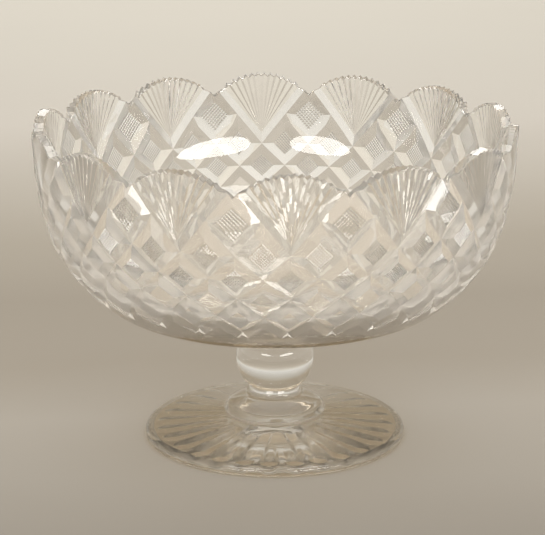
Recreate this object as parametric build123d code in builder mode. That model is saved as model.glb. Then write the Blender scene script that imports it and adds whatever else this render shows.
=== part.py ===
"""Pedestal punch bowl in cut glass: a scalloped bowl, two collars, a ball knop and a fluted foot.

The origin is the middle of the foot's underside and +Z is the axis that every piece is turned
about. Millimetres throughout. The gathers of glass are joined hot on the real bowl, so each piece
meets the next one face to face and nothing moves.
"""

from build123d import *
from math import atan2, cos, radians, sin, sqrt
import os

os.makedirs("parts", exist_ok=True)

# ---- driving dimensions ------------------------------------------------------------------------

rim_radius = 150.0
overall_height = 205.0

# Rim: one arch of the scalloped edge over each cut fan.
fan_count = 14
valley_height = 190.5
arch_overshoot = 0.3  # the arches peak this far above the height, which leaves a small flat on each
arch_reach = 30.0  # half the width of a notch cutter, just short of the arch's peak
cutter_clearance = 6.0  # how far a notch cutter runs past the top and the outside of the rim

# Bowl: the outside and the inside as (radius, height) from the rim down.
outer_side = [(150.0, 205.0), (149.3, 190.0), (148.5, 174.0), (146.7, 160.0), (143.5, 145.0),
              (138.2, 130.0), (130.5, 117.0), (121.5, 105.5), (106.5, 92.0)]
outer_base = [(106.5, 92.0), (96.0, 86.8), (80.0, 82.2), (60.0, 78.8), (40.0, 76.8)]
inner_side = [(143.5, 205.0), (141.8, 190.0), (140.2, 174.0), (137.7, 160.0), (133.9, 145.0),
              (128.3, 131.5), (120.3, 119.5), (108.0, 108.5), (92.0, 100.5)]
inner_base = [(92.0, 100.5), (70.0, 94.6), (45.0, 91.2), (0.0, 89.5)]
outer_base_directions = [(-2.0, -1.35), (-1.0, -0.06)]  # of its outline at either end
inner_base_directions = [(1.0, 0.0), (2.0, 0.85)]
bowl_underside_height = 76.0
bowl_underside_radius = 34.0

# Stem: the seal under the bowl, the ball knop and the domed collar on the foot.
seal_radius = 27.0
seal_edge_radius = 2.4
knop_radius = 24.7
knop_height = 51.0
knop_top = 69.5
knop_bottom = 32.2
collar_radius = 32.5
collar_equator = 17.2
collar_undercut_radius = 31.3
collar_undercut_height = 14.8
collar_seat_radius = 28.6
collar_dome_directions = [(0.1, -1.0), (0.0, -1.0)]

# Foot: a disc that rises gently to the collar, with hollow flutes cut up into its underside.
foot_radius = 82.7
foot_edge_height = 6.6
foot_crown_radius = 31.0
foot_crown_height = 13.6
foot_slope_radius = 56.0
foot_slope_height = 9.6
foot_crown_directions = [(-1.0, 0.06), (-1.0, 0.2)]
foot_edge_round = 2.6
foot_bead_radius = 1.0
foot_recess_radius = 77.4
foot_recess_depth = 0.6
flute_count = 2 * fan_count
flute_end_radius = 76.0
flute_ridge_angle = 0.5  # half the angle of the plain ridge left between two flutes
flute_rise = 1.25  # angle at which the crest of a flute climbs outwards from the middle
star_hub_radius = 15.0
star_hub_depth = 1.2


def half_chord(radius, distance):
    """Half the chord that a line cuts from a circle, at a distance from its centre."""
    return sqrt(radius ** 2 - distance ** 2)


# ---- bowl --------------------------------------------------------------------------------------

# The arch's radius puts its ends in the valleys and its peak just above the overall height.
arch_half_chord = rim_radius * sin(radians(180.0 / fan_count))
arch_drop = overall_height + arch_overshoot - valley_height
arch_radius = (arch_half_chord ** 2 + arch_drop ** 2) / (2.0 * arch_drop)
arch_centre_height = overall_height + arch_overshoot - arch_radius


def arch_point(offset):
    """Point of the arch to the right of a valley, at a sideways offset from that valley."""
    return offset, arch_centre_height + half_chord(arch_radius, arch_half_chord - offset)


with BuildPart() as rim_notch:
    with BuildSketch(Plane.XZ):
        with BuildLine():
            valley = (0.0, valley_height)
            right_end = arch_point(arch_reach)
            right_middle = arch_point(arch_reach / 2.0)
            left_end = (-right_end[0], right_end[1])
            left_middle = (-right_middle[0], right_middle[1])
            cutter_top = overall_height + cutter_clearance
            ThreePointArc(valley, right_middle, right_end)
            Line(right_end, (right_end[0], cutter_top))
            Line((right_end[0], cutter_top), (left_end[0], cutter_top))
            Line((left_end[0], cutter_top), left_end)
            ThreePointArc(left_end, left_middle, valley)
        make_face()
    extrude(amount=rim_radius + cutter_clearance)

with BuildPart() as bowl:
    with BuildSketch(Plane.XZ):
        with BuildLine():
            Line(inner_side[0], outer_side[0])
            Spline(outer_side)
            Spline(outer_base, tangents=outer_base_directions)
            Line(outer_base[-1], (bowl_underside_radius, bowl_underside_height))
            Line((bowl_underside_radius, bowl_underside_height), (0.0, bowl_underside_height))
            Line((0.0, bowl_underside_height), inner_base[-1])
            Spline(list(reversed(inner_base)), tangents=inner_base_directions)
            Spline(list(reversed(inner_side)))
        make_face()
    revolve(axis=Axis.Z)
    # The first fan faces -Y, so the first valley is half a fan round from it.
    with PolarLocations(0.0, fan_count, start_angle=180.0 / fan_count):
        add(rim_notch.part, mode=Mode.SUBTRACT)

# ---- seal between the bowl and the knop ----------------------------------------------------------

knop_top_radius = half_chord(knop_radius, knop_top - knop_height)

with BuildPart() as bowl_seal:
    with BuildSketch(Plane.XZ):
        with BuildLine():
            seal_shoulder = bowl_underside_height - 2.0 * seal_edge_radius
            Line((0.0, knop_top), (knop_top_radius, knop_top))
            Line((knop_top_radius, knop_top), (seal_radius - seal_edge_radius, seal_shoulder))
            ThreePointArc(
                (seal_radius - seal_edge_radius, seal_shoulder),
                (seal_radius, seal_shoulder + seal_edge_radius),
                (seal_radius - seal_edge_radius, bowl_underside_height),
            )
            Line((seal_radius - seal_edge_radius, bowl_underside_height), (0.0, bowl_underside_height))
            Line((0.0, bowl_underside_height), (0.0, knop_top))
        make_face()
    revolve(axis=Axis.Z)

# ---- ball knop -----------------------------------------------------------------------------------

knop_bottom_radius = half_chord(knop_radius, knop_height - knop_bottom)

with BuildPart() as ball_knop:
    with BuildSketch(Plane.XZ):
        with BuildLine():
            Line((0.0, knop_bottom), (knop_bottom_radius, knop_bottom))
            ThreePointArc(
                (knop_bottom_radius, knop_bottom),
                (knop_radius, knop_height),
                (knop_top_radius, knop_top),
            )
            Line((knop_top_radius, knop_top), (0.0, knop_top))
            Line((0.0, knop_top), (0.0, knop_bottom))
        make_face()
    revolve(axis=Axis.Z)

# ---- domed collar on the foot ----------------------------------------------------------------------

collar_dome = [(knop_bottom_radius, knop_bottom), (16.6, 30.4), (17.1, 28.8), (18.3, 27.2),
               (21.4, 25.8), (25.8, 23.7), (30.0, 20.9), (collar_radius, collar_equator)]

with BuildPart() as foot_collar:
    with BuildSketch(Plane.XZ):
        with BuildLine():
            Spline(collar_dome, tangents=collar_dome_directions)
            ThreePointArc(
                (collar_radius, collar_equator),
                (collar_undercut_radius, collar_undercut_height),
                (collar_seat_radius, foot_crown_height),
            )
            Line((collar_seat_radius, foot_crown_height), (0.0, foot_crown_height))
            Line((0.0, foot_crown_height), (0.0, knop_bottom))
            Line((0.0, knop_bottom), (knop_bottom_radius, knop_bottom))
        make_face()
    revolve(axis=Axis.Z)

# ---- foot ------------------------------------------------------------------------------------------

# A flute is a cone with its tip at the middle of the underside and a ball for an end. The cone's
# axis dips below the underside by flute_dip, so that only a shallow wedge of it reaches the glass.
flute_half_width = radians(180.0 / flute_count - flute_ridge_angle)
rise = radians(flute_rise)
flute_dip = atan2(cos(rise) - cos(flute_half_width), sin(rise))
flute_cone_angle = flute_dip + rise
flute_end_reach = cos(flute_dip) + sqrt(sin(flute_cone_angle) ** 2 - sin(flute_dip) ** 2)
flute_end_distance = flute_end_radius / flute_end_reach
flute_end_ball = flute_end_distance * sin(flute_cone_angle)

flute_plane = Plane(
    origin=(0.0, 0.0, 0.0),
    x_dir=(cos(flute_dip), 0.0, -sin(flute_dip)),
    z_dir=(0.0, -1.0, 0.0),
)

with BuildPart() as flute:
    with BuildSketch(flute_plane):
        with BuildLine():
            tangent_point = (
                flute_end_distance * cos(flute_cone_angle) ** 2,
                flute_end_ball * cos(flute_cone_angle),
            )
            ball_top = (flute_end_distance, flute_end_ball)
            ball_end = (flute_end_distance + flute_end_ball, 0.0)
            Line((0.0, 0.0), tangent_point)
            ThreePointArc(tangent_point, ball_top, ball_end)
            Line(ball_end, (0.0, 0.0))
        make_face()
    revolve(axis=Axis(flute_plane.origin, flute_plane.x_dir))

corner_cut = 1.0 - cos(radians(45.0))  # how much a rounded corner's middle is cut back, per radius

with BuildPart() as foot:
    with BuildSketch(Plane.XZ):
        with BuildLine():
            edge_face = foot_radius - foot_edge_round
            edge_cut = corner_cut * foot_edge_round
            Line((0.0, 0.0), (foot_radius - foot_bead_radius, 0.0))
            ThreePointArc(
                (foot_radius - foot_bead_radius, 0.0),
                (foot_radius - corner_cut * foot_bead_radius, corner_cut * foot_bead_radius),
                (foot_radius, foot_bead_radius),
            )
            Line((foot_radius, foot_bead_radius), (foot_radius, foot_edge_height - foot_edge_round))
            ThreePointArc(
                (foot_radius, foot_edge_height - foot_edge_round),
                (foot_radius - edge_cut, foot_edge_height - edge_cut),
                (edge_face, foot_edge_height),
            )
            Spline(
                [
                    (edge_face, foot_edge_height),
                    (foot_slope_radius, foot_slope_height),
                    (foot_crown_radius, foot_crown_height),
                ],
                tangents=foot_crown_directions,
            )
            Line((foot_crown_radius, foot_crown_height), (0.0, foot_crown_height))
            Line((0.0, foot_crown_height), (0.0, 0.0))
        make_face()
    revolve(axis=Axis.Z)
    with BuildSketch(Plane.XY):
        Circle(foot_recess_radius)
    extrude(amount=foot_recess_depth, mode=Mode.SUBTRACT)
    with PolarLocations(0.0, flute_count, start_angle=-90.0 + 180.0 / flute_count):
        add(flute.part, mode=Mode.SUBTRACT)
    with BuildSketch(Plane.XY):
        Circle(star_hub_radius)
    extrude(amount=star_hub_depth, mode=Mode.SUBTRACT)

# ---- output ----------------------------------------------------------------------------------------

bowl.part.label = "bowl"
bowl_seal.part.label = "bowl_seal"
ball_knop.part.label = "ball_knop"
foot_collar.part.label = "foot_collar"
foot.part.label = "foot"

for piece in (bowl, bowl_seal, ball_knop, foot_collar, foot):
    export_step(piece.part, f"parts/{piece.part.label}.step")
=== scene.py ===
"""Cut-glass punch bowl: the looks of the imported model.

The bowl's outside is one sheet cut by wheels. It is laid out in an unrolled grid: `column` counts
around the bowl (even columns are fan centres, odd ones are rim valleys) and `level` counts the rows
of crossings of the mitre cuts downwards. `Shell.lay` puts a point of that grid on the outline of the
blank and sinks it by the depth of the cut, so every crease of the cutting is an edge of the mesh.
"""

from bisect import bisect_right
from math import atan2, cos, degrees, hypot, pi, radians, sin, sqrt

import bmesh
import bpy
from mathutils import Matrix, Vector


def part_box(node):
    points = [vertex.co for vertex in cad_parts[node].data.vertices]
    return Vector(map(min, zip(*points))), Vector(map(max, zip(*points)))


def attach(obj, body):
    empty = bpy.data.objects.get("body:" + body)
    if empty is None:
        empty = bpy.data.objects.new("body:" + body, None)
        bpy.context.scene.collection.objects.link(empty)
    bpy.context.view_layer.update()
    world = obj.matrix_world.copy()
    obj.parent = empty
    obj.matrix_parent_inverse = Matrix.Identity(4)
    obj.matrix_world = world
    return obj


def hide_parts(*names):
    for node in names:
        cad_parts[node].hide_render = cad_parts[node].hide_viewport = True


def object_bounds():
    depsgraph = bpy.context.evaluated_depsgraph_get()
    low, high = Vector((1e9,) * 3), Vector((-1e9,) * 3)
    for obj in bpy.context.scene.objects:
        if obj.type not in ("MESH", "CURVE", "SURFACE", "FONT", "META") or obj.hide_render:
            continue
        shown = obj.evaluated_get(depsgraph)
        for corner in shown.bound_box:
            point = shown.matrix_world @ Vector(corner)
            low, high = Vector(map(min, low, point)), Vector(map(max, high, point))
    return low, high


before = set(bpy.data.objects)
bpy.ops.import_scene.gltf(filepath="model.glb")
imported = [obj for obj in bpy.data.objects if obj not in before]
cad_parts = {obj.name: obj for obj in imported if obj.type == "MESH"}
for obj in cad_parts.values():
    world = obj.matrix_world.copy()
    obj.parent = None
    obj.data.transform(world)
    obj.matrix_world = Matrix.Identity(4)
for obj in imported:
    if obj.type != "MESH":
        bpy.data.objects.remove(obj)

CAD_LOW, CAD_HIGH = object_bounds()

MM = 0.001

# ---- sizes ---------------------------------------------------------------------------------------

# The frame's boxes are in metres. All other sizes of the object are in millimetres.
BOWL_LOW, BOWL_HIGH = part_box("bowl")
SEAL_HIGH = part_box("bowl_seal")[1]
KNOP_LOW, KNOP_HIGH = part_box("ball_knop")
COLLAR_LOW, COLLAR_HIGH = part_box("foot_collar")
FOOT_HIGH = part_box("foot")[1]

# Bowl: the blank's outside and inside as (radius, height), from the rim down.
FANS = 14
RIM_RADIUS = BOWL_HIGH[1] / MM
TOP = BOWL_HIGH[2] / MM
UNDERSIDE = BOWL_LOW[2] / MM
VALLEY_HEIGHT = 190.5
OUTSIDE = [(150.0, 205.0), (149.3, 190.0), (148.5, 174.0), (146.7, 160.0), (143.5, 145.0),
           (138.2, 130.0), (130.5, 117.0), (121.5, 105.5), (106.5, 92.0), (96.0, 86.8),
           (80.0, 82.2), (60.0, 78.8), (40.0, 76.8), (34.0, UNDERSIDE)]
INSIDE = [(143.5, 205.0), (141.8, 190.0), (140.2, 174.0), (137.7, 160.0), (133.9, 145.0),
          (128.3, 131.5), (120.3, 119.5), (108.0, 108.5), (92.0, 100.5), (70.0, 94.6),
          (45.0, 91.2), (20.0, 89.8), (0.0, 89.5)]
INSIDE_DROP = 6.0  # from the valleys down to the highest level ring of the inside
INSIDE_ROWS = 40
INSIDE_CROWDING = 1.05  # above 1, the inside's rings lie closer together near the rim
BASE_ROWS = 22  # rings of the plain base below the cutting

# Cutting: how far down the outline each row of crossings lies, and how deep the mitres are there.
LEVELS = [14.6, 31.0, 49.2, 64.8, 80.0, 95.8, 111.0, 125.5]
MITRE_DEPTHS = [3.8, 3.2, 3.2, 3.0, 3.0, 2.7, 1.9]
LAST_LEVEL = len(LEVELS) - 1
RUN_OUT = 0.25  # levels over which the mitres fade away below the last crossings
NARROWEST = 0.06  # the share of its width that a mitre keeps where it has faded away
MITRE_WIDTH = 0.25  # half a mitre, as a part of a diamond's side
BORDER_WIDTH = 0.135  # the same where a fan's border cuts the diamond beside it
VALLEY_DEPTH = 2.2  # of the borders' flanks where they meet in a rim valley
HATCHED_LEVELS = 3  # rows of diamonds that carry hatching
HATCH = 8  # fine cuts each way across a hatched diamond
HATCH_DEPTH = 0.6

# Fans: the face that borders them narrows from the rim to the fan's root.
BORDER_COLUMN = 0.91  # where the border's mitre meets the rim, in columns from the fan's centre
FACE_COLUMN = 0.765  # where the inner edge of the border's face meets it
ROOT_LEVEL = 1.58
RIBS = 12
RIB_DEPTH = 0.95
FACE_EDGE_DEPTH = 0.8
END_GAP = 0.45  # gap between the face and the first rib, in ribs
NOTCH_OUTSIDE = 2.0  # depth of the notches between the rim's teeth
NOTCH_INSIDE = 1.4
EDGE_ROUND = 0.5  # rounding of the rim's two corners

# Stem: the seal under the bowl, the ball knop and the domed collar on the foot.
AROUND = 168  # points in each ring of the stem's pieces
SEAL_RADIUS = SEAL_HIGH[0] / MM
SEAL_EDGE = 2.4  # radius of the seal's rounded edge
KNOP_RADIUS = KNOP_HIGH[0] / MM
KNOP_CENTRE = 51.0
KNOP_TOP = KNOP_HIGH[2] / MM
KNOP_BOTTOM = KNOP_LOW[2] / MM
COLLAR_DOME = [(16.6, 30.4), (17.1, 28.8), (18.3, 27.2), (21.4, 25.8), (25.8, 23.7), (30.0, 20.9)]
COLLAR_RADIUS = COLLAR_HIGH[0] / MM
COLLAR_EQUATOR = 17.2
COLLAR_SEAT = COLLAR_LOW[2] / MM
COLLAR_SEAT_RADIUS = 28.6

# Foot: a disc that rises gently to the collar, with hollow flutes cut up into its underside.
FOOT_RADIUS = FOOT_HIGH[0] / MM
FOOT_SLOPE = [(68.0, 7.9), (56.0, 9.6), (43.0, 11.6), (31.0, COLLAR_SEAT)]
FOOT_SLOPE_ROWS = 24
FOOT_EDGE_HEIGHT = 6.6
FOOT_EDGE_ROUND = 3.8  # a little rounder than the solid's edge
FOOT_BEAD = 1.0  # radius of the foot's lower edge
RECESS_RADIUS = 77.4
RECESS_LEAN = 0.4  # how far the recess's wall leans in from the ground ring
RECESS_DEPTH = 0.6
FLUTES = 2 * FANS
FLUTE_END = 76.0
FLUTE_RIDGE = radians(0.5)  # half the angle of the plain ridge left between two flutes
FLUTE_RISE = radians(1.25)  # angle at which a flute's crest climbs outwards
FLUTE_COLUMNS = 12  # grid columns to each flute
FLUTE_ROWS = 30
RIDGE_END = 0.97  # the ridges' outer end, as a share of the radius where the flutes' corners end
HUB_RADIUS = 15.0
HUB_LEAN = 0.6
HUB_DEPTH = 1.2

# Which of its piece's materials a face has: on the bowl, and then on the stem and the foot.
BRIGHT, JOINT, INSIDE_FACE, BASE, WHEEL_CUT = range(5)
PLAIN, GROUND = 0, 2

# Metres within which corners are welded into one, and below which an edge is dropped.
WELD = 3e-6
SLIVER = 1e-6


# ---- outlines ------------------------------------------------------------------------------------

def mix(a, b, share):
    return a + (b - a) * share


class Outline:
    """A smooth line through (radius, height) points, measured along its length."""

    def __init__(self, points, steps=12):
        dense = [points[0]]
        for i in range(len(points) - 1):
            before = points[max(i - 1, 0)]
            after = points[min(i + 2, len(points) - 1)]
            for step in range(1, steps + 1):
                dense.append(self.between(before, points[i], points[i + 1], after, step / steps))
        self.points = dense
        self.lengths = [0.0]
        for a, b in zip(dense, dense[1:]):
            self.lengths.append(self.lengths[-1] + hypot(b[0] - a[0], b[1] - a[1]))

    @staticmethod
    def between(before, start, end, after, t):
        """Point of the Catmull-Rom curve from start to end."""
        place = []
        for p, q, r, s in zip(before, start, end, after):
            place.append(0.5 * (2 * q + (r - p) * t + (2 * p - 5 * q + 4 * r - s) * t ** 2
                                + (3 * q - p - 3 * r + s) * t ** 3))
        return tuple(place)

    def at(self, length):
        """(radius, height, outward radius, outward height) at a length along the line."""
        last = len(self.points) - 2
        i = min(max(bisect_right(self.lengths, length) - 1, 0), last)
        a, b = self.points[i], self.points[i + 1]
        span = self.lengths[i + 1] - self.lengths[i]
        t = (length - self.lengths[i]) / span
        run, fall = (b[0] - a[0]) / span, (b[1] - a[1]) / span
        return a[0] + (b[0] - a[0]) * t, a[1] + (b[1] - a[1]) * t, -fall, run

    def length_at_height(self, height):
        """Length at which the line first comes down to a height."""
        for i in range(len(self.points) - 1):
            high, low = self.points[i][1], self.points[i + 1][1]
            if high >= height >= low:
                share = (high - height) / (high - low)
                return self.lengths[i] + share * (self.lengths[i + 1] - self.lengths[i])
        return 0.0


OUTER = Outline(OUTSIDE)
INNER = Outline(INSIDE)
COLUMN_ANGLE = pi / FANS

# The rim's arches meet in the valleys and peak at the top.
ARCH_HALF_CHORD = RIM_RADIUS * sin(COLUMN_ANGLE)
ARCH_DROP = TOP - VALLEY_HEIGHT
ARCH_RADIUS = (ARCH_HALF_CHORD ** 2 + ARCH_DROP ** 2) / (2.0 * ARCH_DROP)


def rim_height(column):
    """Height of the scalloped rim at a column counted from the nearest fan's centre."""
    sideways = RIM_RADIUS * sin(column * COLUMN_ANGLE)
    return TOP - ARCH_RADIUS + sqrt(ARCH_RADIUS ** 2 - sideways ** 2)


def level_length(level):
    """Length down the outside at a level, which may lie between rows or above the first."""
    if level < 0.0:
        return LEVELS[0] + (LEVELS[1] - LEVELS[0]) * level
    i = min(int(level), LAST_LEVEL - 1)
    before = LEVELS[i - 1] if i > 0 else 2 * LEVELS[0] - LEVELS[1]
    after = LEVELS[min(i + 2, LAST_LEVEL)]
    return Outline.between((before,), (LEVELS[i],), (LEVELS[i + 1],), (after,), level - i)[0]


def run_out(level):
    """1 down to the last crossings, then falling to 0 where the cuts leave the glass."""
    return min(max(1.0 - (level - len(MITRE_DEPTHS) + 1) / RUN_OUT, 0.0), 1.0)


def mitre_depth(level):
    """Depth of the mitre cuts where they pass a level."""
    last = len(MITRE_DEPTHS) - 1
    if level >= last:
        return MITRE_DEPTHS[last] * run_out(level)
    i = max(int(level // 1), 0)
    return mix(MITRE_DEPTHS[i], MITRE_DEPTHS[i + 1], max(level - i, 0.0))


# ---- mesh building -------------------------------------------------------------------------------

class Shell:
    """Collects faces by their corners' places in millimetres, and welds them into one mesh."""

    def __init__(self):
        self.corners = []
        self.faces = []
        self.kinds = []

    def point(self, x, y, z):
        self.corners.append((x * MM, y * MM, z * MM))
        return len(self.corners) - 1

    def turned(self, radius, angle, height):
        """A point at a radius and an angle from -Y, counted towards +X."""
        return self.point(radius * sin(angle), -radius * cos(angle), height)

    def ring(self, radius, angles, height):
        return [self.turned(radius, angle, height) for angle in angles]

    def lay(self, column, length, depth):
        """A point on the bowl's outside, sunk below the blank's surface by depth."""
        radius, height, out, up = OUTER.at(length)
        return self.turned(radius - depth * out, column * COLUMN_ANGLE, height - depth * up)

    def face(self, *corners, kind):
        self.faces.append(corners)
        self.kinds.append(kind)

    def band(self, upper, lower, kind, closed=True):
        """Faces between two rings with the same number of points."""
        count = len(upper)
        for i in range(count if closed else count - 1):
            j = (i + 1) % count
            self.face(upper[i], lower[i], lower[j], upper[j], kind=kind)

    def cap(self, ring, height, kind):
        """Triangles from a ring to a point on the axis."""
        centre = self.point(0.0, 0.0, height)
        for i in range(len(ring)):
            self.face(ring[i], ring[(i + 1) % len(ring)], centre, kind=kind)

    def build(self, name, materials, crease=14.0):
        """The welded mesh as an object, smooth except along creases sharper than an angle."""
        mesh = bpy.data.meshes.new(name)
        mesh.from_pydata(self.corners, [], self.faces)
        for polygon, kind in zip(mesh.polygons, self.kinds):
            polygon.material_index = kind
        work = bmesh.new()
        work.from_mesh(mesh)
        bmesh.ops.remove_doubles(work, verts=work.verts, dist=WELD)
        bmesh.ops.dissolve_degenerate(work, edges=work.edges, dist=SLIVER)
        bmesh.ops.recalc_face_normals(work, faces=work.faces)
        work.to_mesh(mesh)
        work.free()
        for polygon in mesh.polygons:
            polygon.use_smooth = True
        mesh.set_sharp_from_angle(angle=radians(crease))
        for material in materials:
            mesh.materials.append(material)
        piece = bpy.data.objects.new(name, mesh)
        bpy.context.scene.collection.objects.link(piece)
        return piece


# ---- diamonds ------------------------------------------------------------------------------------

FLAT_STEPS = 2 * HATCH  # grid squares along the flat top of a diamond
STEPS = FLAT_STEPS + 2  # and along its whole side: mitre face, flat top, mitre face
FAN_STEPS = STEPS  # along a fan's ray, for the 2 * STEPS points of the mitre beside it


def side_places():
    """Places of the grid lines along a diamond's side, from 0 to 1."""
    flat = [mix(MITRE_WIDTH, 1.0 - MITRE_WIDTH, i / FLAT_STEPS) for i in range(FLAT_STEPS + 1)]
    return [0.0] + flat + [1.0]


EDGE_PLACES = side_places()


def flat_place(i, across, top, low_width):
    """Where line i of a diamond's flat top lies along one side, at a place across on the other.

    The mitres are narrower where they run out, so the flat top is wider there.
    """
    low = low_width * max(run_out(top + across), NARROWEST)
    high = MITRE_WIDTH * max(run_out(top + 1.0 + across), NARROWEST)
    return mix(low, 1.0 - high, (i - 1) / FLAT_STEPS)


class Diamond:
    """One diamond between four mitre cuts. Its sides a and b run down-right and down-left."""

    def __init__(self, shell, column, level, left_fan=None, right_fan=None, low_width=MITRE_WIDTH):
        self.shell = shell
        self.column = column
        self.top = level - 1.0
        self.in_last_row = level == LAST_LEVEL
        self.hatched = level <= HATCHED_LEVELS
        self.left_fan = left_fan
        self.right_fan = right_fan
        self.low_width = low_width
        self.made = {}

    def places(self, i, j):
        """(a, b) of grid point i, j."""
        on_waist = self.in_last_row and i + j == STEPS
        if i in (0, STEPS) or j in (0, STEPS) or on_waist:
            return EDGE_PLACES[i], EDGE_PLACES[j]
        a = flat_place(i, EDGE_PLACES[j], self.top, self.low_width)
        b = flat_place(j, EDGE_PLACES[i], self.top, self.low_width)
        return a, b

    def depth(self, i, j, level):
        if i in (0, STEPS) or j in (0, STEPS):
            return mitre_depth(level)
        on_ridge = i % 2 == 0 and j % 2 == 0
        return 0.0 if on_ridge or not self.hatched else HATCH_DEPTH

    def on_border(self, i, j):
        """Where a grid point lies if it is on the border of a fan beside this diamond."""
        if self.right_fan is not None and j == 0:
            column, length, depth = border_line(self.top + EDGE_PLACES[i])
            return self.right_fan - column, length, depth
        if self.left_fan is not None and i == 0:
            column, length, depth = border_line(self.top + EDGE_PLACES[j])
            return self.left_fan + column, length, depth
        return None

    def point(self, i, j):
        if (i, j) not in self.made:
            place = self.on_border(i, j)
            if place is None:
                a, b = self.places(i, j)
                level = self.top + a + b
                column = self.column + 0.5 * (a - b)
                place = column, level_length(level), self.depth(i, j, level)
            self.made[i, j] = self.shell.lay(*place)
        return self.made[i, j]

    def square(self, i, j):
        """One grid square, split along the crease that runs through it, if one does."""
        near, right = self.point(i, j), self.point(i + 1, j)
        far, left = self.point(i + 1, j + 1), self.point(i, j + 1)
        ends = (0, STEPS - 1)
        corner = i in ends and j in ends
        hatched = self.hatched and i not in ends and j not in ends
        kind = BRIGHT if hatched else WHEEL_CUT
        if corner:
            falling = (i == 0) == (j == 0)
        elif hatched:
            falling = i % 2 == j % 2
        else:
            self.shell.face(near, right, far, left, kind=kind)
            return
        if falling:
            self.shell.face(near, right, far, kind=kind)
            self.shell.face(near, far, left, kind=kind)
        else:
            self.shell.face(near, right, left, kind=kind)
            self.shell.face(right, far, left, kind=kind)

    def cut(self):
        for i in range(STEPS):
            for j in range(STEPS):
                self.square(i, j)

    def cut_upper_half(self):
        """Only the half above the diamond's waist, for the row where the cutting stops."""
        for i in range(STEPS):
            for j in range(STEPS - 1 - i):
                self.square(i, j)
            j = STEPS - 1 - i
            # The cuts have faded away at the waist, so the glass is bright again there.
            self.shell.face(self.point(i, j), self.point(i + 1, j), self.point(i, j + 1), kind=BRIGHT)


# ---- rim and fans --------------------------------------------------------------------------------

RAYS = 2 * RIBS + 1
FIRST_RAY = 3  # index of a fan's first ray among the rim's points


def rim_columns():
    """Columns of the rim's points from one valley to the next."""
    spacing = RIBS - 1 + 2 * END_GAP
    shares = [0.0] + [(END_GAP + ray / 2) / spacing for ray in range(RAYS - 2)] + [1.0]
    rays = [mix(-FACE_COLUMN, FACE_COLUMN, share) for share in shares]
    side = [-1.0, -BORDER_COLUMN, -0.5 * (BORDER_COLUMN + FACE_COLUMN)]
    return side + rays + [-column for column in reversed(side)]


def rim_notches():
    """How far each of the rim's points is notched: 1 at a groove's end, 0 at a rib's."""
    rays = [1.0 - ray % 2 for ray in range(RAYS)]
    return [0.0, 0.0, 0.5] + rays + [0.5, 0.0, 0.0]


RIM_COLUMNS = rim_columns()
RIM_NOTCHES = rim_notches()


def rim_edge_height(index, notch):
    """Height of a point of the rim's edge, before its rounding."""
    return min(rim_height(RIM_COLUMNS[index]), TOP) - notch * RIM_NOTCHES[index]


def rim_length(index):
    """Length down the outside of the rim's outer edge."""
    return OUTER.length_at_height(rim_edge_height(index, NOTCH_OUTSIDE) - EDGE_ROUND)


def ray_depth(ray):
    """Depth of a fan's ray at the rim: the face's edge, a rib's crest or a groove."""
    if ray in (0, RAYS - 1):
        return FACE_EDGE_DEPTH
    return 0.0 if ray % 2 == 1 else RIB_DEPTH


def border_line(level):
    """(distance in columns from the fan's centre, length, depth) along a border's mitre.

    The mitre leaves the rim a little above the valley and runs straight to the fan's root.
    """
    if level <= 0.0:
        return 1.0, rim_length(0), VALLEY_DEPTH
    share = (level - MITRE_WIDTH) / (2.0 - MITRE_WIDTH)
    column = mix(BORDER_COLUMN, 0.0, share)
    return column, mix(rim_length(1), level_length(2.0), share), mitre_depth(level)


def border_rows(side):
    """Two rows of unrolled points along a fan's border face: the mitre's bottom and the face's middle.

    side is -1 for the left border and 1 for the right one. Each row is a list of
    (column, length, depth) from the rim to the fan's root.
    """
    mitre = []
    for level in EDGE_PLACES[1:] + [1.0 + place for place in EDGE_PLACES[1:]]:
        column, length, depth = border_line(level)
        mitre.append((side * column, length, depth))
    root = (0.0, level_length(ROOT_LEVEL), 0.0)
    rim_point = (side * FACE_COLUMN, rim_length(FIRST_RAY), FACE_EDGE_DEPTH)
    rows = []
    for row in range(FIRST_RAY - 1):
        line = []
        for index, low in enumerate(mitre):
            high = [mix(a, b, index / (len(mitre) - 1)) for a, b in zip(rim_point, root)]
            line.append(tuple(mix(a, b, row / (FIRST_RAY - 1)) for a, b in zip(low, high)))
        line[0] = (-side * RIM_COLUMNS[row + 1], rim_length(row + 1), line[0][2])
        rows.append(line)
    return rows


def cut_ribs(shell, centre):
    """The fan's ribs: rays of points from the root to the rim, with the faces between them."""
    root_length = level_length(ROOT_LEVEL)
    root = shell.lay(centre, root_length, 0.0)
    rays = []
    for ray in range(RAYS):
        index = FIRST_RAY + ray
        tip_column, tip_length = RIM_COLUMNS[index], rim_length(index)
        line = [root]
        for step in range(1, FAN_STEPS + 1):
            share = step / FAN_STEPS
            length = mix(root_length, tip_length, share)
            line.append(shell.lay(centre + tip_column * share, length, ray_depth(ray) * share))
        rays.append(line)
    for left, right in zip(rays, rays[1:]):
        shell.face(root, left[1], right[1], kind=BRIGHT)
        for step in range(1, FAN_STEPS):
            shell.face(left[step], left[step + 1], right[step + 1], right[step], kind=BRIGHT)
    return rays


def cut_border(shell, centre, side, ray):
    """The face between a fan's border mitre and its outermost ray. Returns its points on the rim."""
    mitre, middle = [[shell.lay(centre + column, length, depth) for column, length, depth in row]
                     for row in border_rows(side)]
    shell.band(mitre, middle, kind=WHEEL_CUT, closed=False)
    # The ray has one point for every second one of the mitre's.
    inner = ray[::-1]
    for i in range(FAN_STEPS):
        shell.face(middle[2 * i], middle[2 * i + 1], inner[i], kind=WHEEL_CUT)
        shell.face(middle[2 * i + 1], inner[i + 1], inner[i], kind=WHEEL_CUT)
        if i < FAN_STEPS - 1:
            shell.face(middle[2 * i + 1], middle[2 * i + 2], inner[i + 1], kind=WHEEL_CUT)
    return [mitre[0], middle[0]]


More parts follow.
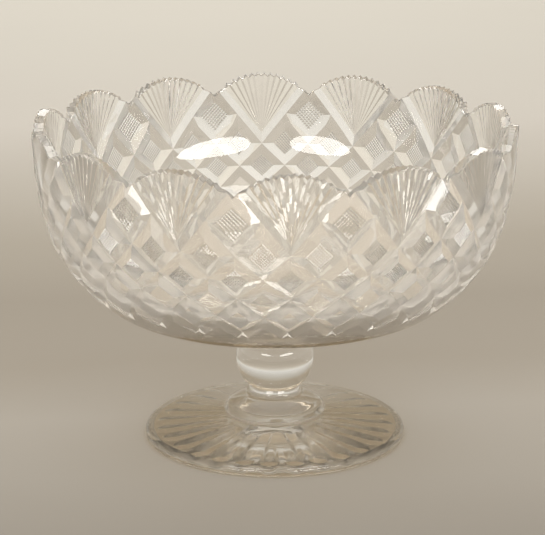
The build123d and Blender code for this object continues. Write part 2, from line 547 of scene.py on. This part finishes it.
def cut_fan(shell, centre):
    """A fan: its ribs and its two border faces. Returns the outer edge of its scallop."""
    rays = cut_ribs(shell, centre)
    valley = shell.lay(centre - 1.0, rim_length(0), VALLEY_DEPTH)
    next_valley = shell.lay(centre + 1.0, rim_length(0), VALLEY_DEPTH)
    left = cut_border(shell, centre, -1, rays[0])
    right = cut_border(shell, centre, 1, rays[-1])
    return [valley] + left + [ray[-1] for ray in rays] + right[::-1] + [next_valley]


# ---- bowl ----------------------------------------------------------------------------------------

def round_rim(shell, scallops):
    """The rim's flat edge, rounded at both corners. Returns its angles and its inner edge."""
    rings = [[], [], [], []]
    angles = []
    for fan, scallop in enumerate(scallops):
        for index, outer in enumerate(scallop[:-1]):
            angle = (2 * fan + RIM_COLUMNS[index]) * COLUMN_ANGLE
            outer_height = rim_edge_height(index, NOTCH_OUTSIDE)
            inner_height = rim_edge_height(index, NOTCH_INSIDE)
            low = inner_height - EDGE_ROUND
            outer_radius = hypot(*shell.corners[outer][:2]) / MM
            inner_radius = INNER.at(INNER.length_at_height(inner_height))[0]
            low_radius = INNER.at(INNER.length_at_height(low))[0]
            angles.append(angle)
            rings[0].append(outer)
            rings[1].append(shell.turned(outer_radius - EDGE_ROUND, angle, outer_height))
            rings[2].append(shell.turned(inner_radius + EDGE_ROUND, angle, inner_height))
            rings[3].append(shell.turned(low_radius, angle, low))
    for outer_ring, inner_ring in zip(rings, rings[1:]):
        shell.band(inner_ring, outer_ring, kind=BRIGHT)
    return angles, rings[-1]


def line_inside(shell, angles, above):
    """The polished inside of the bowl, from the rim's inner edge down to the middle."""
    start = INNER.length_at_height(VALLEY_HEIGHT - INSIDE_DROP)
    for row in range(INSIDE_ROWS):
        share = (row / INSIDE_ROWS) ** INSIDE_CROWDING
        radius, height = INNER.at(mix(start, INNER.lengths[-1], share))[:2]
        ring = shell.ring(radius, angles, height)
        shell.band(ring, above, kind=INSIDE_FACE)
        above = ring
    shell.cap(above[::-1], INSIDE[-1][1], kind=INSIDE_FACE)


def close_base(shell):
    """The plain band below the cutting, the underside and the joint with the seal."""
    columns = []
    for column in range(2 * FANS):
        columns += [column - 0.5 + place for place in EDGE_PLACES[:-1]]
    start = level_length(LAST_LEVEL)
    above = [shell.lay(column, start, 0.0) for column in columns]
    for row in range(1, BASE_ROWS + 1):
        length = mix(start, OUTER.lengths[-1], row / BASE_ROWS)
        ring = [shell.lay(column, length, 0.0) for column in columns]
        shell.band(above, ring, kind=BASE)
        above = ring
    angles = [column * COLUMN_ANGLE for column in columns]
    joint = shell.ring(SEAL_RADIUS - SEAL_EDGE, angles, UNDERSIDE)
    shell.band(above, joint, kind=BASE)
    shell.cap(joint, UNDERSIDE, kind=JOINT)


def make_bowl(materials):
    """The bowl: each fan with the diamonds beside it, the rows below them, the inside and the base."""
    shell = Shell()
    scallops = []
    for fan in range(0, 2 * FANS, 2):
        scallops.append(cut_fan(shell, fan))
        Diamond(shell, fan + 1, 1, left_fan=fan, right_fan=fan + 2, low_width=BORDER_WIDTH).cut()
        Diamond(shell, fan - 0.5, 2, right_fan=fan).cut()
        Diamond(shell, fan + 0.5, 2, left_fan=fan).cut()
    for level in range(3, LAST_LEVEL):
        shift = 0.0 if level % 2 == 1 else 0.5
        for column in range(2 * FANS):
            Diamond(shell, column + shift, level).cut()
    for column in range(2 * FANS):
        Diamond(shell, column, LAST_LEVEL).cut_upper_half()
    angles, inner_edge = round_rim(shell, scallops)
    line_inside(shell, angles, inner_edge)
    close_base(shell)
    return shell.build("cut_bowl", materials)


# ---- stem ----------------------------------------------------------------------------------------

def turned_piece(name, outline, materials):
    """A solid turned about the axis from an outline that runs from its top joint to its bottom one."""
    shell = Shell()
    angles = [2 * pi * i / AROUND for i in range(AROUND)]
    above = shell.ring(outline[0][0], angles, outline[0][1])
    shell.cap(above[::-1], outline[0][1], kind=JOINT)
    for radius, height in outline[1:]:
        below = shell.ring(radius, angles, height)
        shell.band(above, below, kind=PLAIN)
        above = below
    shell.cap(above, outline[-1][1], kind=JOINT)
    return shell.build(name, materials, crease=40.0)


def arc_points(centre, radius, start, end, steps, squash=1.0):
    """Points of an arc in the (radius, height) plane, from one angle to another, in degrees."""
    points = []
    for step in range(steps + 1):
        angle = radians(mix(start, end, step / steps))
        points.append((centre[0] + radius * cos(angle), centre[1] + radius * squash * sin(angle)))
    return points


def knop_section(height):
    """Radius of the ball at a height."""
    return sqrt(KNOP_RADIUS ** 2 - (height - KNOP_CENTRE) ** 2)


def make_seal(materials):
    """The small collar between the bowl and the ball: a rounded edge and a short cone."""
    shoulder = SEAL_RADIUS - SEAL_EDGE
    edge = arc_points((shoulder, UNDERSIDE - SEAL_EDGE), SEAL_EDGE, 90.0, -90.0, steps=16)
    neck = (knop_section(KNOP_TOP), KNOP_TOP)
    steps = 4
    cone = [tuple(mix(a, b, step / steps) for a, b in zip(edge[-1], neck))
            for step in range(1, steps + 1)]
    return turned_piece("seal_under_bowl", edge + cone, materials)


def make_knop(materials):
    """The ball, flat where it meets its neighbours."""
    top = degrees(atan2(KNOP_TOP - KNOP_CENTRE, knop_section(KNOP_TOP)))
    bottom = degrees(atan2(KNOP_BOTTOM - KNOP_CENTRE, knop_section(KNOP_BOTTOM)))
    outline = arc_points((0.0, KNOP_CENTRE), KNOP_RADIUS, top, bottom, steps=64)
    return turned_piece("glass_ball", outline, materials)


def make_collar(materials):
    """The domed collar, undercut down to its seat on the foot."""
    neck = (knop_section(KNOP_BOTTOM), KNOP_BOTTOM)
    dome = Outline([neck] + COLLAR_DOME + [(COLLAR_RADIUS, COLLAR_EQUATOR)])
    steps = 36
    side = [dome.at(dome.lengths[-1] * i / steps)[:2] for i in range(steps)]
    reach = COLLAR_RADIUS - COLLAR_SEAT_RADIUS
    squash = (COLLAR_EQUATOR - COLLAR_SEAT) / reach
    centre = (COLLAR_SEAT_RADIUS, COLLAR_EQUATOR)
    under = arc_points(centre, reach, 0.0, -90.0, steps=14, squash=squash)
    return turned_piece("domed_collar", side + under, materials)


# ---- foot ----------------------------------------------------------------------------------------

class Flute:
    """The hollow that one flute leaves: a cone from the middle of the foot with a ball for an end.

    The cone's axis dips below the underside, so that only a shallow wedge of it reaches the glass.
    """

    half_angle = pi / FLUTES - FLUTE_RIDGE

    def __init__(self):
        dip = atan2(cos(FLUTE_RISE) - cos(self.half_angle), sin(FLUTE_RISE))
        self.cone_angle = dip + FLUTE_RISE
        self.axis_x = cos(dip)
        self.axis_z = -sin(dip)
        reach = self.axis_x + sqrt(sin(self.cone_angle) ** 2 - self.axis_z ** 2)
        self.distance = FLUTE_END / reach
        self.ball_radius = self.distance * sin(self.cone_angle)

    def end(self, angle):
        """Radius at which the flute ends, at an angle from its own middle."""
        level_radius = sqrt(self.ball_radius ** 2 - (self.distance * self.axis_z) ** 2)
        along = self.distance * self.axis_x
        sideways = along * sin(angle)
        return along * cos(angle) + sqrt(max(level_radius ** 2 - sideways ** 2, 0.0))

    def ball_height(self, x, y):
        """Height of the ball's top over a point of the ground, or 0 outside it."""
        ball_x = self.distance * self.axis_x
        ball_z = self.distance * self.axis_z
        under = self.ball_radius ** 2 - (x - ball_x) ** 2 - y ** 2
        return ball_z + sqrt(under) if under > 0.0 else 0.0

    def cone_height(self, x, y):
        """Height of the cone's surface over a point of the ground."""
        opening = cos(self.cone_angle) ** 2
        a = self.axis_z ** 2 - opening
        b = 2 * self.axis_x * self.axis_z * x
        c = (self.axis_x * x) ** 2 - opening * (x ** 2 + y ** 2)
        root = sqrt(max(b ** 2 - 4 * a * c, 0.0))
        return max((-b + root) / (2 * a), (-b - root) / (2 * a))

    def height(self, radius, angle):
        """Height of the flute's roof over the ground."""
        x, y = radius * cos(angle), radius * sin(angle)
        cone = self.cone_height(x, y)
        along = x * self.axis_x + cone * self.axis_z
        past_cone = along > self.distance * cos(self.cone_angle) ** 2
        return max(self.ball_height(x, y) if past_cone else cone, 0.0)


def foot_outline():
    """The foot's side as (radius, height), from the collar over the edge down to the ground."""
    shoulder = FOOT_RADIUS - FOOT_EDGE_ROUND
    slope = Outline([(shoulder, FOOT_EDGE_HEIGHT)] + FOOT_SLOPE)
    shares = [1 - row / FOOT_SLOPE_ROWS for row in range(FOOT_SLOPE_ROWS)]
    side = [slope.at(slope.lengths[-1] * share)[:2] for share in shares]
    edge_centre = (shoulder, FOOT_EDGE_HEIGHT - FOOT_EDGE_ROUND)
    side += arc_points(edge_centre, FOOT_EDGE_ROUND, 90.0, 0.0, steps=10)
    side += arc_points((FOOT_RADIUS - FOOT_BEAD, FOOT_BEAD), FOOT_BEAD, 0.0, -90.0, steps=6)
    return side


def cut_flutes(shell, angles, above):
    """The star of hollow flutes, from the recess in to the hub. Returns its innermost ring."""
    flute = Flute()
    offsets = [(i % FLUTE_COLUMNS - FLUTE_COLUMNS / 2) / FLUTE_COLUMNS * 2 * pi / FLUTES
               for i in range(len(angles))]
    for row in range(FLUTE_ROWS + 1):
        below = []
        for angle, offset in zip(angles, offsets):
            inside = abs(offset) < flute.half_angle
            end = flute.end(offset) if inside else flute.end(flute.half_angle) * RIDGE_END
            radius = mix(HUB_RADIUS, end, 1.0 - row / FLUTE_ROWS)
            roof = flute.height(radius, offset) if inside else 0.0
            below.append(shell.turned(radius, angle, max(roof, RECESS_DEPTH)))
        shell.band(above, below, kind=PLAIN)
        above = below
    return above


def make_foot(materials):
    """The foot: smooth on top, with a ground ring and a star of hollow flutes beneath."""
    shell = Shell()
    # The first flute starts at a fan's centre, so the ridges between flutes line up with the fans.
    count = FLUTES * FLUTE_COLUMNS
    angles = [2 * pi * i / count for i in range(count)]
    above = shell.ring(COLLAR_SEAT_RADIUS, angles, COLLAR_SEAT)
    shell.cap(above[::-1], COLLAR_SEAT, kind=JOINT)
    for radius, height in foot_outline():
        below = shell.ring(radius, angles, height)
        shell.band(above, below, kind=PLAIN)
        above = below
    ground = shell.ring(RECESS_RADIUS, angles, 0.0)
    shell.band(above, ground, kind=GROUND)
    recess = shell.ring(RECESS_RADIUS - RECESS_LEAN, angles, RECESS_DEPTH)
    shell.band(ground, recess, kind=PLAIN)
    star = cut_flutes(shell, angles, recess)
    hub = shell.ring(HUB_RADIUS - HUB_LEAN, angles, HUB_DEPTH)
    shell.band(star, hub, kind=PLAIN)
    shell.cap(hub, HUB_DEPTH, kind=PLAIN)
    return shell.build("fluted_foot", materials, crease=16.0)


# ---- materials -----------------------------------------------------------------------------------

WARM = (0.995, 0.99, 0.975)
BOWL_SHADE = (0.99, 0.97, 0.94)
STEM_SHADE = (0.93, 0.925, 0.91)
FOOT_SHADE = (0.92, 0.87, 0.78)


def new_material(name):
    material = bpy.data.materials.new(name)
    material.use_nodes = True
    nodes = material.node_tree.nodes
    nodes.clear()
    return material, nodes, material.node_tree.links


def ramp_node(nodes, stops):
    """A colour ramp with its stops given as (position, colour)."""
    node = nodes.new("ShaderNodeValToRGB")
    elements = node.color_ramp.elements
    while len(elements) < len(stops):
        elements.new(0.5)
    for element, (position, colour) in zip(elements, stops):
        element.position = position
        element.color = (*colour, 1.0)
    return node


def crystal(name, tint, shade, ripple, ripple_size, polish=(0.0, 0.03), wear=0.01):
    """Clear lead crystal: faintly rippled by the fire or the wheel, and polished unevenly.

    polish is the range of its roughness, and wear the share of its light that scatters as if from
    a matt surface. Lamps shine through it in the colour of its shade, so that its shadow is as
    light as real glass makes it.
    """
    material, nodes, links = new_material(name)
    place = nodes.new("ShaderNodeTexCoord")
    wave = nodes.new("ShaderNodeTexNoise")
    wave.inputs["Scale"].default_value = ripple_size
    wave.inputs["Detail"].default_value = 2.0
    bump = nodes.new("ShaderNodeBump")
    bump.inputs["Strength"].default_value = ripple
    bump.inputs["Distance"].default_value = 0.002
    smear = nodes.new("ShaderNodeTexNoise")
    smear.inputs["Scale"].default_value = 40.0
    smear.inputs["Detail"].default_value = 5.0
    # The roughness follows the noise between two of its levels.
    rough = nodes.new("ShaderNodeMapRange")
    rough.inputs["From Min"].default_value = 0.35
    rough.inputs["From Max"].default_value = 0.75
    rough.inputs["To Min"].default_value = polish[0]
    rough.inputs["To Max"].default_value = polish[1]
    glass = nodes.new("ShaderNodeBsdfPrincipled")
    glass.inputs["Base Color"].default_value = (*tint, 1.0)
    glass.inputs["IOR"].default_value = 1.54
    glass.inputs["Transmission Weight"].default_value = 1.0 - wear
    passing = nodes.new("ShaderNodeBsdfTransparent")
    passing.inputs["Color"].default_value = (*shade, 1.0)
    path = nodes.new("ShaderNodeLightPath")
    choose = nodes.new("ShaderNodeMixShader")
    output = nodes.new("ShaderNodeOutputMaterial")
    links.new(place.outputs["Object"], wave.inputs["Vector"])
    links.new(place.outputs["Object"], smear.inputs["Vector"])
    links.new(wave.outputs["Fac"], bump.inputs["Height"])
    links.new(smear.outputs["Fac"], rough.inputs["Value"])
    links.new(rough.outputs["Result"], glass.inputs["Roughness"])
    links.new(bump.outputs["Normal"], glass.inputs["Normal"])
    links.new(path.outputs["Is Shadow Ray"], choose.inputs["Fac"])
    links.new(glass.outputs["BSDF"], choose.inputs[1])
    links.new(passing.outputs["BSDF"], choose.inputs[2])
    links.new(choose.outputs["Shader"], output.inputs["Surface"])
    return material


def bright_cutting():
    """The hatching, the ribs and the rim, cut and polished bright."""
    return crystal("cut_crystal", WARM, BOWL_SHADE, ripple=0.02, ripple_size=90.0, wear=0.02)


def wheel_cuts():
    """The broad faces that the wheel left a little matt: mitres, borders and plain diamonds."""
    tint = (0.99, 0.965, 0.92)
    return crystal("wheel_cuts", tint, BOWL_SHADE, ripple=0.02, ripple_size=90.0, wear=0.24)


def worn_inside():
    """The inside of the bowl, dulled by use."""
    tint = (0.99, 0.98, 0.95)
    return crystal("worn_inside", tint, BOWL_SHADE, ripple=0.01, ripple_size=20.0,
                   polish=(0.015, 0.04), wear=0.07)


def thick_base():
    """The uncut base, where the glass is thickest and its colour deepest."""
    tint = (0.95, 0.79, 0.58)
    return crystal("thick_base", tint, BOWL_SHADE, ripple=0.04, ripple_size=40.0, wear=0.05)


def fire_polished():
    """The stem, smooth from the fire."""
    return crystal("fire_polished_crystal", WARM, STEM_SHADE, ripple=0.06, ripple_size=28.0)


def foot_crystal():
    """The foot, a little darker than the stem."""
    tint = (0.955, 0.925, 0.87)
    return crystal("foot_crystal", tint, FOOT_SHADE, ripple=0.06, ripple_size=45.0)


def ground_ring():
    """The matt ring that the foot stands on."""
    tint = (0.93, 0.92, 0.9)
    return crystal("ground_ring", tint, STEM_SHADE, ripple=0.25, ripple_size=900.0, polish=(0.15, 0.4))


def fused_joint():
    """The plane where two gathers of glass were joined hot, which nothing shows."""
    material, nodes, links = new_material("fused_joint")
    clear = nodes.new("ShaderNodeBsdfTransparent")
    output = nodes.new("ShaderNodeOutputMaterial")
    links.new(clear.outputs["BSDF"], output.inputs["Surface"])
    return material


def painted_light_floor():
    """A sheet of plain pale paper, faintly cloudy, with painted shade towards the front and painted
    light towards the back.
    """
    material, nodes, links = new_material("painted_light_floor")
    place = nodes.new("ShaderNodeTexCoord")
    split = nodes.new("ShaderNodeSeparateXYZ")
    cloud = nodes.new("ShaderNodeTexNoise")
    cloud.inputs["Scale"].default_value = 3.0
    drift = nodes.new("ShaderNodeMath")
    drift.operation = "MULTIPLY_ADD"
    drift.inputs[1].default_value = 0.08
    reach = nodes.new("ShaderNodeMapRange")
    reach.inputs["From Min"].default_value = -0.30
    reach.inputs["From Max"].default_value = 1.90
    # Painted light and shade: the paper is dark at the front and paler towards the back, with a
    # lighter patch under the bowl and a darker band just behind it.
    painted_light_and_shade = ramp_node(nodes, [
        (0.0, (0.14, 0.125, 0.105)), (0.12, (0.262, 0.243, 0.214)), (0.17, (0.291, 0.27, 0.239)),
        (0.22, (0.256, 0.232, 0.197)), (0.29, (0.250, 0.226, 0.191)), (0.365, (0.296, 0.271, 0.231)),
        (0.58, (0.492, 0.468, 0.430)), (0.80, (0.563, 0.545, 0.50)), (1.0, (0.636, 0.617, 0.568)),
    ])
    paper = nodes.new("ShaderNodeBsdfPrincipled")
    paper.inputs["Roughness"].default_value = 0.7
    paper.inputs["Specular IOR Level"].default_value = 0.1
    output = nodes.new("ShaderNodeOutputMaterial")
    links.new(place.outputs["Object"], split.inputs["Vector"])
    links.new(place.outputs["Object"], cloud.inputs["Vector"])
    links.new(cloud.outputs["Fac"], drift.inputs[0])
    links.new(split.outputs["Y"], drift.inputs[2])
    links.new(drift.outputs["Value"], reach.inputs["Value"])
    links.new(reach.outputs["Result"], painted_light_and_shade.inputs["Fac"])
    links.new(painted_light_and_shade.outputs["Color"], paper.inputs["Base Color"])
    links.new(paper.outputs["BSDF"], output.inputs["Surface"])
    return material


# ---- studio, in metres ---------------------------------------------------------------------------

AIM_HEIGHT = 0.109
CAMERA_DISTANCE = 1.3725
CAMERA_ELEVATION = 16.1
CAMERA_AZIMUTH = -3.57
CAMERA_SIDE_STEP = -0.00145
LENS = 144.1
FLOOR_RADIUS = 2.2
FLOOR_GAP = 0.0002  # keeps the floor from touching the ground ring
LAMP_COLOUR = (1.0, 0.985, 0.96)
OVERHEAD_MIDDLE = 0.06  # the overhead pair lies a little to the right
OVERHEAD_APART = 0.42  # and each box this far from its middle


def make_floor():
    place = (0.0, 0.0, CAD_LOW[2] - FLOOR_GAP)
    bpy.ops.mesh.primitive_circle_add(vertices=96, radius=FLOOR_RADIUS, fill_type="NGON",
                                      location=place)
    floor = bpy.context.active_object
    floor.name = "floor"
    floor.data.materials.append(painted_light_floor())


def soft_box(name, place, size, power, aim=(0.0, 0.0, 0.12), mirrored=True):
    """A lamp behind a cloth. It shows in the glass only as a highlight, if it is mirrored."""
    data = bpy.data.lights.new(name, "AREA")
    data.shape = "ELLIPSE"
    data.size, data.size_y = size
    data.energy = power
    data.color = LAMP_COLOUR
    lamp = bpy.data.objects.new(name, data)
    lamp.location = place
    towards = Vector(aim) - Vector(place)
    lamp.rotation_euler = towards.to_track_quat("-Z", "Y").to_euler()
    lamp.visible_glossy = mirrored
    lamp.visible_transmission = False
    bpy.context.scene.collection.objects.link(lamp)


def make_lamps():
    """Two boxes overhead, two high in front, a low strip on either side and one for the backdrop."""
    for side in (-1, 1):
        across = OVERHEAD_MIDDLE + side * OVERHEAD_APART
        soft_box("overhead_box", (across, 0.0, 1.35), (0.56, 0.46), power=7.0, aim=(across, 0.0, 0.0))
        soft_box("high_box", (side * 0.72, -1.0, 1.7), (1.2, 0.66), power=8.5)
    soft_box("right_strip", (1.06, -1.70, 0.64), (1.6, 0.22), power=9.5)
    soft_box("left_strip", (-0.99, -1.76, 0.64), (1.25, 0.22), power=6.3)
    soft_box("backdrop_box", (0.0, 1.7, 1.8), (2.6, 0.7), power=22.0, aim=(0.0, 1.5, 0.0),
             mirrored=False)


def make_world():
    """The room: the pale paper sweeping up behind, dark above it, and a pale ceiling."""
    low, paper, sweep = (0.66, 0.64, 0.59), (0.74, 0.72, 0.67), (0.56, 0.53, 0.47)
    dusk, wall, ceiling = (0.36, 0.305, 0.225), (0.30, 0.25, 0.19), (0.50, 0.46, 0.40)
    front, above = (0.86, 0.82, 0.75), (0.68, 0.64, 0.57)
    world = bpy.data.worlds.new("studio")
    bpy.context.scene.world = world
    world.use_nodes = True
    nodes, links = world.node_tree.nodes, world.node_tree.links
    nodes.clear()
    place = nodes.new("ShaderNodeTexCoord")
    split = nodes.new("ShaderNodeSeparateXYZ")
    height = nodes.new("ShaderNodeMapRange")
    height.inputs["From Min"].default_value = -1.0
    behind = ramp_node(nodes, [(0.0, low), (0.455, paper), (0.49, paper), (0.54, sweep),
                               (0.63, dusk), (0.80, wall), (0.95, ceiling)])
    before = ramp_node(nodes, [(0.0, front), (0.58, front), (0.75, above), (0.95, ceiling)])
    depth = nodes.new("ShaderNodeMapRange")
    depth.inputs["From Min"].default_value = -0.5
    depth.inputs["From Max"].default_value = 0.4
    blend = nodes.new("ShaderNodeMix")
    blend.data_type = "RGBA"
    room = nodes.new("ShaderNodeBackground")
    output = nodes.new("ShaderNodeOutputWorld")
    links.new(place.outputs["Generated"], split.inputs["Vector"])
    links.new(split.outputs["Z"], height.inputs["Value"])
    links.new(split.outputs["Y"], depth.inputs["Value"])
    links.new(height.outputs["Result"], behind.inputs["Fac"])
    links.new(height.outputs["Result"], before.inputs["Fac"])
    # A mix node keeps sockets for every data type: 6 and 7 are its two colours, 2 is their mix.
    links.new(depth.outputs["Result"], blend.inputs[0])
    links.new(before.outputs["Color"], blend.inputs[6])
    links.new(behind.outputs["Color"], blend.inputs[7])
    links.new(blend.outputs[2], room.inputs["Color"])
    links.new(room.outputs["Background"], output.inputs["Surface"])


def make_camera():
    data = bpy.data.cameras.new("camera")
    data.sensor_width = 36.0
    data.lens = LENS
    camera = bpy.data.objects.new("camera", data)
    bpy.context.scene.collection.objects.link(camera)
    turn, rise = radians(CAMERA_AZIMUTH), radians(CAMERA_ELEVATION)
    back = Vector((sin(turn) * cos(rise), -cos(turn) * cos(rise), sin(rise)))
    right = Vector((cos(turn), sin(turn), 0.0))
    aim = Vector((0.0, 0.0, AIM_HEIGHT)) + right * CAMERA_SIDE_STEP
    camera.location = aim + back * CAMERA_DISTANCE
    camera.rotation_euler = (-back).to_track_quat("-Z", "Y").to_euler()
    bpy.context.scene.camera = camera


def set_looks():
    """Plain colours, and enough bounces for light to cross both walls of the bowl."""
    scene = bpy.context.scene
    scene.view_settings.view_transform = "Standard"
    cycles = scene.cycles
    cycles.max_bounces = 24
    cycles.transmission_bounces = 20
    cycles.glossy_bounces = 8
    cycles.diffuse_bounces = 3
    cycles.transparent_max_bounces = 32
    cycles.caustics_reflective = False
    cycles.caustics_refractive = False


# ---- the object ----------------------------------------------------------------------------------

def place_piece(piece, node):
    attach(piece, "root")
    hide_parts(node)


def make_object():
    joint = fused_joint()
    stem = [fire_polished(), joint]
    bowl = [bright_cutting(), joint, worn_inside(), thick_base(), wheel_cuts()]
    place_piece(make_bowl(bowl), "bowl")
    place_piece(make_seal(stem), "bowl_seal")
    place_piece(make_knop(stem), "ball_knop")
    place_piece(make_collar(stem), "foot_collar")
    place_piece(make_foot([foot_crystal(), joint, ground_ring()]), "foot")


make_object()
make_floor()
make_lamps()
make_world()
make_camera()
set_looks()
